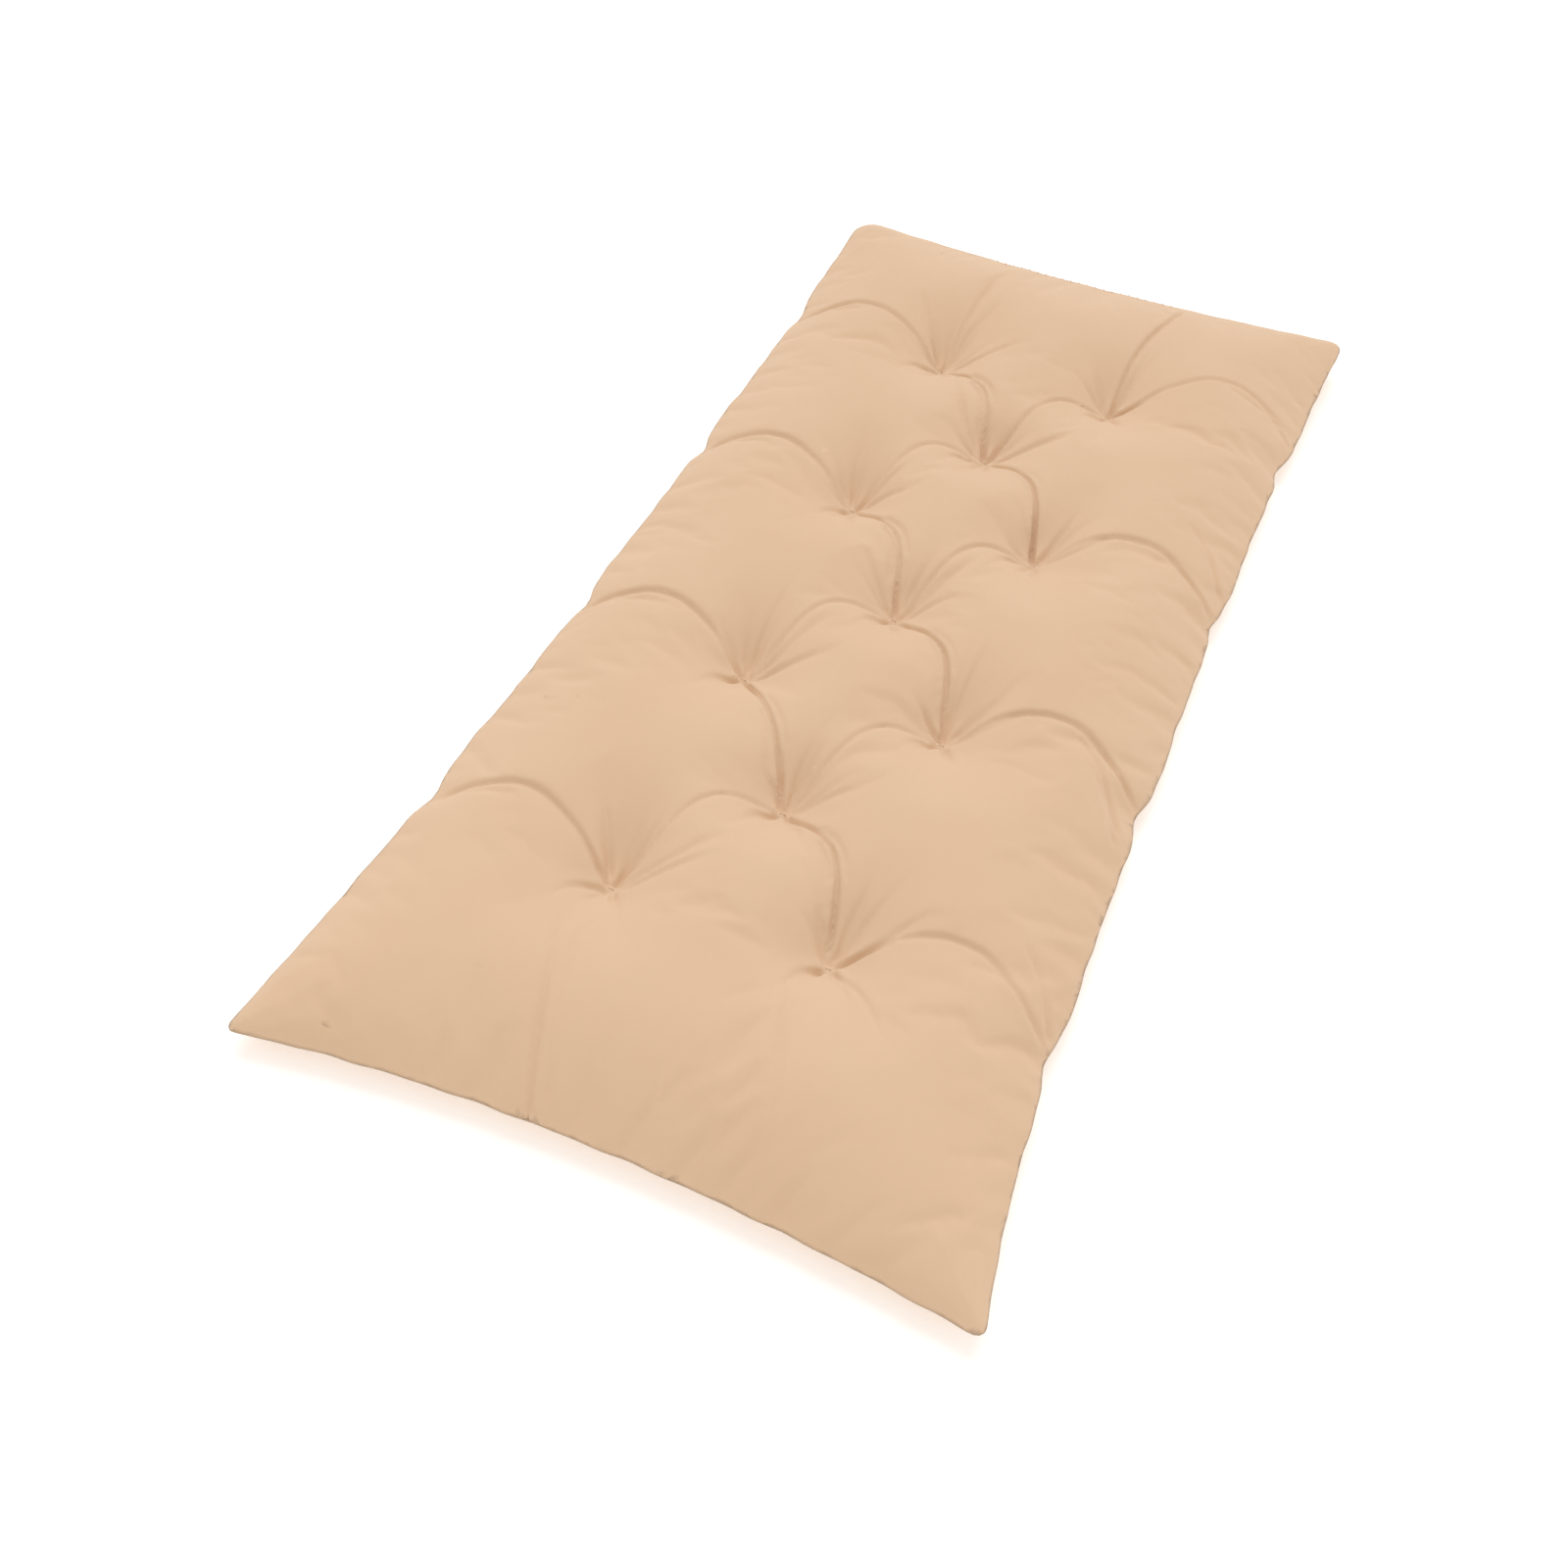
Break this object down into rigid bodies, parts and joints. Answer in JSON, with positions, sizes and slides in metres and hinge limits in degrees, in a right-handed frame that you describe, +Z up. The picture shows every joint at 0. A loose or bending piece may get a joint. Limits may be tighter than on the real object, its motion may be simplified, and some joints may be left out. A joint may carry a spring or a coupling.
{
  "type": "futon mattress",
  "caption": "Thin soft single mattress pad with a two-panel knife-edge cloth cover, layered wadding inside, blind tufts in three staggered lines, folding in half across its middle.",
  "frame": {"origin": "on the surface that the pad lies on, under the middle of the pad", "axes": "+X across the width, +Y from the foot end to the head end, +Z up out of the sleeping side"},
  "size_m": [0.9, 1.9, 0.08],
  "materials": {
    "cover_cloth": "matt fine plain weave",
    "sewing_thread": "matt spun thread",
    "soft_wadding": "fluffy fibre",
    "firm_wadding": "pressed fibre felt",
    "tuft_twine": "waxed two-ply twine"
  },
  "bodies": {
    "foot_half": {"top_panel_foot": "cover_cloth", "bottom_panel_foot": "cover_cloth", "needle_thread_foot": "sewing_thread", "bobbin_thread_foot": "sewing_thread", "upper_batt_foot": "soft_wadding", "core_batt_foot": "firm_wadding", "lower_batt_foot": "soft_wadding", "tuft_tie_left_1": "tuft_twine", "tuft_tie_left_2": "tuft_twine", "tuft_tie_middle_1": "tuft_twine", "tuft_tie_middle_2": "tuft_twine", "tuft_tie_right_1": "tuft_twine", "tuft_tie_right_2": "tuft_twine"},
    "head_half": {"top_panel_head": "cover_cloth", "bottom_panel_head": "cover_cloth", "needle_thread_head": "sewing_thread", "bobbin_thread_head": "sewing_thread", "upper_batt_head": "soft_wadding", "core_batt_head": "firm_wadding", "lower_batt_head": "soft_wadding", "closing_stitches": "sewing_thread", "tuft_tie_left_3": "tuft_twine", "tuft_tie_left_4": "tuft_twine", "tuft_tie_middle_3": "tuft_twine", "tuft_tie_right_3": "tuft_twine", "tuft_tie_right_4": "tuft_twine"}
  },
  "joints": [
    {"name": "fold", "type": "hinge", "parent": "foot_half", "child": "head_half", "pos_m": [0, 0.004, 0.0803], "axis": [1, 0, 0], "range_deg": [0, 180]}
  ]
}
